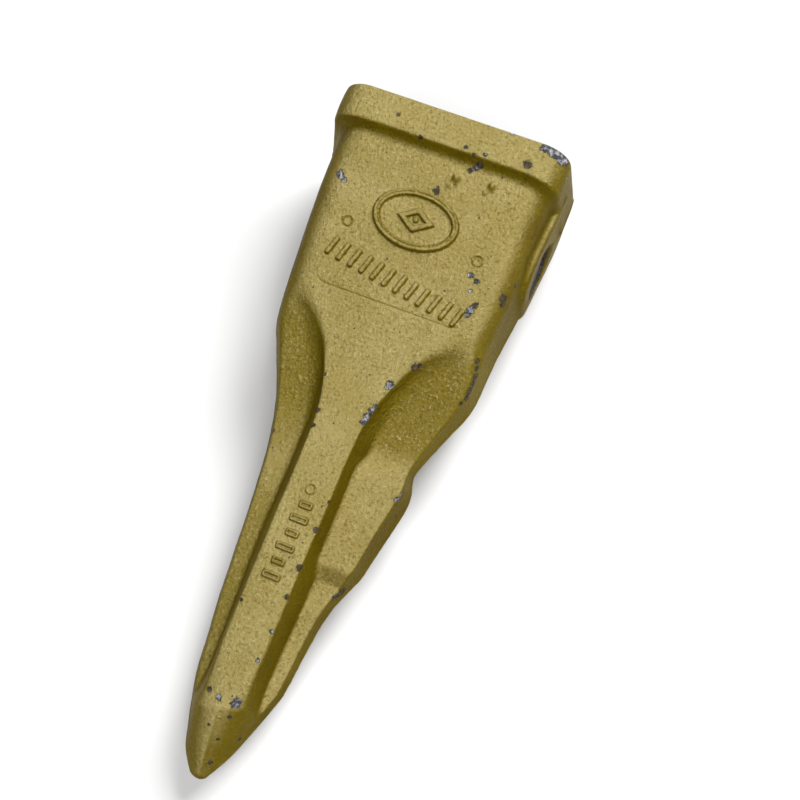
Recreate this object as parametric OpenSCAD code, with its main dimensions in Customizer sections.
// Side-pin bucket tooth with its pin and its retainer.
// Built along +X (mouth to tip), +Y to the side with the wing, +Z up, with its mid-plane at Z = 0,
// then laid down as it rests: on the collar's lower edge and on the rib's front corner.

/* [Tooth] */
// Mouth rim to tip
tooth_len = 369; // [300:1:420]
// Collar height over the two lips
collar_h = 114; // [100:0.5:125]
// Collar width at mid-height
collar_w = 139; // [118:0.5:144]
// Taper of the collar's sides above and below mid-height, degrees
lip_draft = 5; // [0:0.5:9]
// Taper of the body's right side, degrees
right_draft = 8; // [2:0.5:12]
// Taper of the body's left side, degrees
left_draft = 12; // [2:0.5:15]
// Length of the raised collar lip
lip_len = 20; // [12:0.5:26]
// Collar corner radius
lip_r = 15; // [12:0.5:30]
// Rounding of the lip's edges
edge_r = 3.5; // [2:0.5:6]
// Half height of the plateau just ahead of the lip
plateau_z = 49.5; // [44:0.5:53]
// Fall of the plateau towards the tip, degrees
plateau_fall = 10.5; // [6:0.5:14]
// Rounding between the plateau and the sides
body_r = 13; // [8:0.5:20]
// Radius of the side scoops
scoop_r = 98; // [90:1:140]

/* [Rib and tip] */
// Half height of the long rib
rib_z = 28.4; // [22:0.2:32]
// Half width of the rib's crest
rib_w = 11.8; // [8:0.2:16]
// Half width of the rib at the mid-plane
rib_foot = 23.4; // [16:0.2:26]
// Where the crest turns down to the tip
bevel_x = 332; // [300:1:345]
// Half height of the rib at that corner
bevel_z = 25.5; // [18:0.5:28]
// Half thickness of the blunt tip
tip_z = 6.5; // [4:0.5:10]

/* [Socket] */
// Half height of the mouth
mouth_z = 41.5; // [34:0.5:44]
// Half width of the mouth
mouth_y = 47.5; // [40:0.5:50]
// Half width at the socket's end
end_y = 39; // [30:0.5:44]
// Depth of the socket
socket_len = 128; // [100:1:135]
// Half height at the socket's end
end_z = 12; // [8:0.5:16]
// Inside corner radius
socket_r = 9; // [4:0.5:14]

/* [Pin and retainer] */
// Pin axis ahead of the mouth rim
pin_x = 47; // [40:0.5:56]
// Pin diameter
pin_d = 31.9; // [24:0.1:36]
// Radial clearance of the pin in its holes
pin_gap = 0.06; // [0.02:0.01:0.1]
// Pin length
pin_len = 128; // [110:1:134]
// Diameter at the bottom of the pin's groove
groove_d = 27.5; // [22:0.1:30]
// Width of the pin's groove
groove_w = 6; // [4:0.2:8]
// Side offset of the groove from the tooth's centre
groove_y = 49.6; // [46:0.2:52]
// Outside diameter of the rubber body
rubber_d = 53.4; // [46:0.2:58]
// Thickness of the rubber body
rubber_t = 9; // [7:0.2:11]
// Outside diameter of the spring ring
ring_d = 38; // [34:0.2:44]
// Thickness of the spring ring
ring_t = 5; // [3:0.2:6]
// Split in the spring ring
ring_split = 7; // [4:0.5:10]

/* [Markings] */
// Height of the raised marks
mark_h = 1.2; // [0.6:0.1:2]

/* [Hidden] */
$fn = 96;
half_w = collar_w / 2;
half_h = collar_h / 2;
// Places along X: collar's front face, mouth rim and tip.
lip_x = 18;
rim_x = lip_x - lip_len;
tip_x = rim_x + tooth_len;
// Half width of the body at mid-height behind the collar, and of the pin hole's thickening.
body_w = 67.5;
boss_w = 66;
// The angle at which the tooth lies on a floor.
lie_a = bevel_x - lip_x + edge_r;
lie_b = half_h - edge_r - bevel_z;
lie = atan2(lie_b, lie_a) + asin(edge_r / sqrt(lie_a * lie_a + lie_b * lie_b));
rest_z = bevel_x * sin(lie) + bevel_z * cos(lie);
rest_x0 = (rim_x + edge_r) * cos(lie) - (half_h - edge_r) * sin(lie) - edge_r;
rest_x1 = (tip_x - 4) * cos(lie) - (tip_z - 4) * sin(lie) + 4;
rest_x = (rest_x0 + rest_x1) / 2;
// The oval mark is drawn with four arcs.
oval_a = 23.5;
oval_b = 16;
oval_s = 11;
oval_big = (oval_b * oval_b + pow(oval_a - oval_s, 2) - oval_s * oval_s) / (2 * (oval_b - oval_s));

// From the tooth's own frame to the way that it lies.
module lay() {
  translate([-rest_x, 0, rest_z]) rotate([0, lie, 0]) children();
}

module rounded(w, h, r) {
  square([w - 2 * r, h], center = true);
  square([w, h - 2 * r], center = true);
  for (i = [-1, 1], j = [-1, 1]) {
    translate([i * (w / 2 - r), j * (h / 2 - r)]) circle(r = r);
  }
}

module tapered(mid, top, r, right, left) {
  // Half section: half width mid at height 0, flat top at height top, corners rounded;
  // right and left are the tapers of its two sides.
  cr = (mid * cos(right) - (top - r) * sin(right) - r) / cos(right);
  cl = (mid * cos(left) - (top - r) * sin(left) - r) / cos(left);
  translate([cr, top - r]) circle(r = r);
  translate([-cl, top - r]) circle(r = r);
  polygon([
    [mid + 60 * tan(right), -60], [mid, 0],
    [cr + r * cos(right), top - r + r * sin(right)], [cr, top],
    [-cl, top], [-cl - r * cos(left), top - r + r * sin(left)],
    [-mid, 0], [-mid - 60 * tan(left), -60]
  ]);
}

// A section in (y, z), run along +X from x0.
module along(x0, len) {
  translate([x0, 0, 0]) rotate([90, 0, 90]) linear_extrude(len) children();
}

// A side view in (x, z), run across the whole width.
module across(w) {
  rotate([90, 0, 0]) linear_extrude(w, center = true) children();
}

// Outline at the mid-plane: right side, then left side back again.
module plan() {
  polygon([
    [6, 67.6], [20, 67.4], [45, 66], [60, 65.4], [76, 64.8], [82, 64.2],
    [91, 63.2], [105, 61.8], [122, 61], [131, 60.6], [136, 59.9], [141, 58.2], [147, 55.6], [162, 50],
    [175, 45.3], [180, 44.2], [185, 45.2], [190, 46.8], [196, 47], [204, 46], [220, 43],
    [242, 38.7], [251, 34.9], [261, 30.8], [272, 28.2], [288, 26.4], [304, 24.9],
    [314, 23.7], [320, 21.9], [336, 16.5], [356, 9.2], [363, 6.6], [tip_x, 4.6],
    [tip_x, -5.4], [363, -8], [356, -11.3], [346, -14.9], [336, -17.9], [322, -21.4],
    [313, -23.2], [296, -25], [278, -27.2], [261, -28.8], [246, -30], [229, -31.5],
    [211, -33.4], [193, -35.5], [177, -38.9], [167, -41.9], [159, -44.8], [146, -50.4],
    [136, -55.2], [129, -58], [121, -60.2], [113, -61.6], [100, -63], [80, -64.8],
    [64, -66], [46, -67.2], [31, -67.8], [20, -68], [6, -68]
  ]);
}

// Corner bar whose top falls with the plateau.
module fall_bar() {
  translate([28, 0, plateau_z]) rotate([0, plateau_fall, 0]) along(-40, 220) {
    translate([0, -plateau_z]) tapered(body_w, plateau_z, body_r, right_draft, left_draft);
  }
}

module body_envelope() {
  intersection() {
    fall_bar();
    mirror([0, 0, 1]) fall_bar();
  }
}

// Cone that cuts one scoop's curved wall.
module scoop_side() {
  translate([182, scoop_r + rib_w, 0]) {
    cylinder(h = 60, r1 = scoop_r - (rib_foot - rib_w), r2 = scoop_r + 12);
  }
}

module scoops() {
  for (j = [0, 1], k = [0, 1]) {
    mirror([0, j, 0]) mirror([0, 0, k]) {
      scoop_side();
      translate([182, rib_w + 10, -0.01]) cube([60, 70, 60]);
    }
  }
}

// Plateau, narrowing into the rib between the two scoops.
module body() {
  difference() {
    intersection() {
      body_envelope();
      linear_extrude(collar_h, center = true) plan();
      translate([10, -80, -60]) cube([172, 160, 120]);
    }
    scoops();
  }
}

module rib() {
  intersection() {
    along(120, tip_x - 120) polygon([
      [-rib_w, rib_z], [rib_w, rib_z], [rib_foot, 0],
      [rib_w, -rib_z], [-rib_w, -rib_z], [-rib_foot, 0]
    ]);
    linear_extrude(collar_h, center = true) plan();
    tip_profile();
  }
}

// Side view of rib and tip, with the tip's edges rounded.
module tip_profile() {
  across(100) {
    polygon([
      [100, rib_z], [260, rib_z], [300, rib_z - 1.2], [bevel_x, bevel_z], [tip_x - 2, tip_z],
      [tip_x - 2, -tip_z], [bevel_x, -bevel_z], [300, 1.2 - rib_z], [260, -rib_z], [100, -rib_z]
    ]);
    translate([tip_x - 4, tip_z - 4]) circle(r = 4);
    translate([tip_x - 4, 4 - tip_z]) circle(r = 4);
    translate([tip_x - 8, 4 - tip_z]) square([8, 2 * tip_z - 8]);
  }
}

// Floors of the scoops, the wing pads and the blade: right side.
module floor_right() {
  across(200) polygon([
    [70, 46], [104, 36], [124, 26], [144, 18.4], [164, 12.6], [176, 10.4], [181, 11],
    [191, 15.8], [243, 15], [252, 9.4], [290, 7.8], [332, 6], [352, 5], [358, 0],
    [352, -5], [332, -6], [290, -7.8], [252, -9.4], [243, -15], [191, -15.8],
    [181, -11], [176, -10.4], [164, -12.6], [144, -18.4], [124, -26], [104, -36], [70, -46]
  ]);
}

// The same on the plain left side.
module floor_left() {
  across(200) polygon([
    [70, 46], [104, 36], [124, 26], [144, 18.6], [164, 13.6], [184, 11.4], [252, 9.6],
    [290, 7.8], [332, 6], [352, 5], [358, 0], [352, -5], [332, -6], [290, -7.8],
    [252, -9.6], [184, -11.4], [164, -13.6], [144, -18.6], [124, -26], [104, -36], [70, -46]
  ]);
}

module flanges() {
  intersection() {
    linear_extrude(collar_h, center = true) plan();
    union() {
      intersection() {
        floor_right();
        translate([70, 0, -60]) cube([300, 80, 120]);
      }
      intersection() {
        floor_left();
        translate([70, -80, -60]) cube([300, 80.01, 120]);
      }
    }
    union() {
      body_envelope();
      translate([130, -80, -26]) cube([240, 160, 52]);
    }
  }
}

// Raised lip round the mouth, rounded on all its edges.
module lip() {
  intersection() {
    along(rim_x, lip_len) intersection() {
      tapered(half_w, half_h, lip_r, lip_draft, lip_draft);
      mirror([0, 1]) tapered(half_w, half_h, lip_r, lip_draft, lip_draft);
    }
    across(200) translate([(rim_x + lip_x) / 2, 0]) rounded(lip_len, collar_h, edge_r);
    linear_extrude(collar_h, center = true) {
      translate([rim_x + lip_len / 2 + 10, 0]) rounded(lip_len + 20, collar_w, edge_r);
    }
  }
}

// Flat thickening round the right pin hole, running back to the collar.
module boss() {
  translate([0, boss_w, 0]) rotate([90, 0, 0]) linear_extrude(16) {
    translate([pin_x, 0]) circle(r = 26.5);
    translate([12, -26.5]) square([pin_x - 12, 53]);
  }
}

module socket_bar() {
  fall = atan2(mouth_z - end_z, socket_len);
  translate([0, 0, mouth_z]) rotate([0, fall, 0]) along(-24, 204) {
    translate([0, -70]) rounded(2 * mouth_y, 140, socket_r);
  }
}

module socket() {
  // Lead-in chamfer at the mouth.
  lead = 3;
  translate([rim_x, 0, 0]) intersection() {
    translate([-1, -mouth_y - 5, -mouth_z - 5]) cube([5, 2 * mouth_y + 10, 2 * mouth_z + 10]);
    across(200) polygon([
      [-1, mouth_z + lead + 1.5], [lead, mouth_z - 0.3],
      [lead, 0.3 - mouth_z], [-1, -mouth_z - lead - 1.5]
    ]);
    linear_extrude(collar_h, center = true) polygon([
      [-1, mouth_y + lead + 1.5], [lead, mouth_y + 0.2], [lead, -mouth_y - 0.2],
      [-1, -mouth_y - lead - 1.5]
    ]);
  }
  intersection() {
    socket_bar();
    mirror([0, 0, 1]) socket_bar();
    linear_extrude(collar_h, center = true) polygon([
      [-9, mouth_y + 0.6], [socket_len - 14, end_y + 0.9], [socket_len, end_y - 12],
      [socket_len, 12 - end_y], [socket_len - 14, -end_y - 0.9], [-9, -mouth_y - 0.6]
    ]);
  }
}

module pin_holes() {
  translate([pin_x, 0, 0]) rotate([90, 0, 0]) {
    cylinder(h = collar_w + 4, d = pin_d + 2 * pin_gap, center = true, $fn = 128);
  }
}

// Round seat inside the left wall, for the retainer.
module seat() {
  translate([pin_x, -groove_y - rubber_t / 2 - 0.4, 0]) rotate([-90, 0, 0]) {
    cylinder(h = 20, d = rubber_d + 0.8, $fn = 128);
  }
}

module oval(grow) {
  k = oval_big - oval_b;
  d = oval_a - oval_s;
  t = oval_big * d / (oval_big - oval_s);
  translate([0, d]) circle(r = oval_s + grow);
  translate([0, -d]) circle(r = oval_s + grow);
  intersection() {
    translate([k, 0]) circle(r = oval_big + grow, $fn = 128);
    translate([-k, 0]) circle(r = oval_big + grow, $fn = 128);
    square([60, 2 * t], center = true);
  }
}

// Blank raised marks: an oval frame, a diamond and a row of strokes, and bars on the rib.
module marks() {
  translate([28, 0, plateau_z]) rotate([0, plateau_fall, 0]) {
    translate([31, 0, -1]) linear_extrude(1 + mark_h) {
      difference() {
        oval(0);
        oval(-3);
      }
      polygon([[-7, 0], [0, 11], [7, 0], [0, -11]]);
    }
    for (i = [0:11]) {
      translate([57.6 + i * 1.28, i * 7 - 38.5, -1]) rotate([0, 0, -18]) {
        linear_extrude(1 + mark_h) square([10.8, 2.5], center = true);
      }
    }
  }
  for (i = [0:5]) {
    translate([220 + i * 8, 1.6 - i * 0.5, rib_z - 1]) linear_extrude(1.8) {
      square([2.6, i % 2 == 0 ? 6 : 9.2], center = true);
    }
  }
}

module tooth_tip() {
  color([0.60, 0.51, 0.22]) lay() difference() {
    union() {
      lip();
      body();
      flanges();
      rib();
      boss();
      marks();
    }
    socket();
    pin_holes();
    seat();
  }
}

// Straight round pin with one ring groove near its left end.
module side_pin() {
  r = pin_d / 2;
  g = groove_d / 2;
  h = pin_len / 2;
  y0 = groove_y - groove_w / 2;
  y1 = groove_y + groove_w / 2;
  color([0.36, 0.37, 0.38]) lay() translate([pin_x, 0, 0]) rotate([90, 0, 0]) {
    rotate_extrude($fn = 128) polygon([
      [0, -h], [r - 2.5, -h], [r, 2.5 - h], [r, y0 - 1.5], [g, y0], [g, y1],
      [r, y1 + 1.5], [r, h - 2.5], [r - 2.5, h], [0, h]
    ]);
  }
}

// Split spring ring that sits in the pin's groove.
module retainer_ring() {
  color([0.45, 0.46, 0.48]) lay() translate([pin_x, -groove_y, 0]) rotate([90, 0, 0]) {
    difference() {
      cylinder(h = ring_t, d = ring_d, center = true, $fn = 128);
      cylinder(h = ring_t + 1, d = groove_d + 0.16, center = true, $fn = 128);
      translate([0, -ring_split / 2, -ring_t]) cube([ring_d, ring_split, 2 * ring_t]);
    }
  }
}

// Rubber body that carries the ring and centres it in its seat.
module retainer_rubber() {
  color([0.10, 0.10, 0.11]) lay() translate([pin_x, -groove_y, 0]) rotate([90, 0, 0]) {
    difference() {
      cylinder(h = rubber_t, d = rubber_d, center = true, $fn = 128);
      cylinder(h = rubber_t + 1, d = pin_d + 1.2, center = true, $fn = 128);
      cylinder(h = ring_t - 0.04, d = ring_d - 0.04, center = true, $fn = 128);
    }
    intersection() {
      translate([pin_d / 2 + 0.6, -ring_split / 2 + 0.4, -ring_t / 2]) {
        cube([ring_d / 2 - pin_d / 2, ring_split - 0.8, ring_t]);
      }
      cylinder(h = ring_t, d = ring_d + 2, center = true);
    }
  }
}

tooth_tip();
side_pin();
retainer_ring();
retainer_rubber();
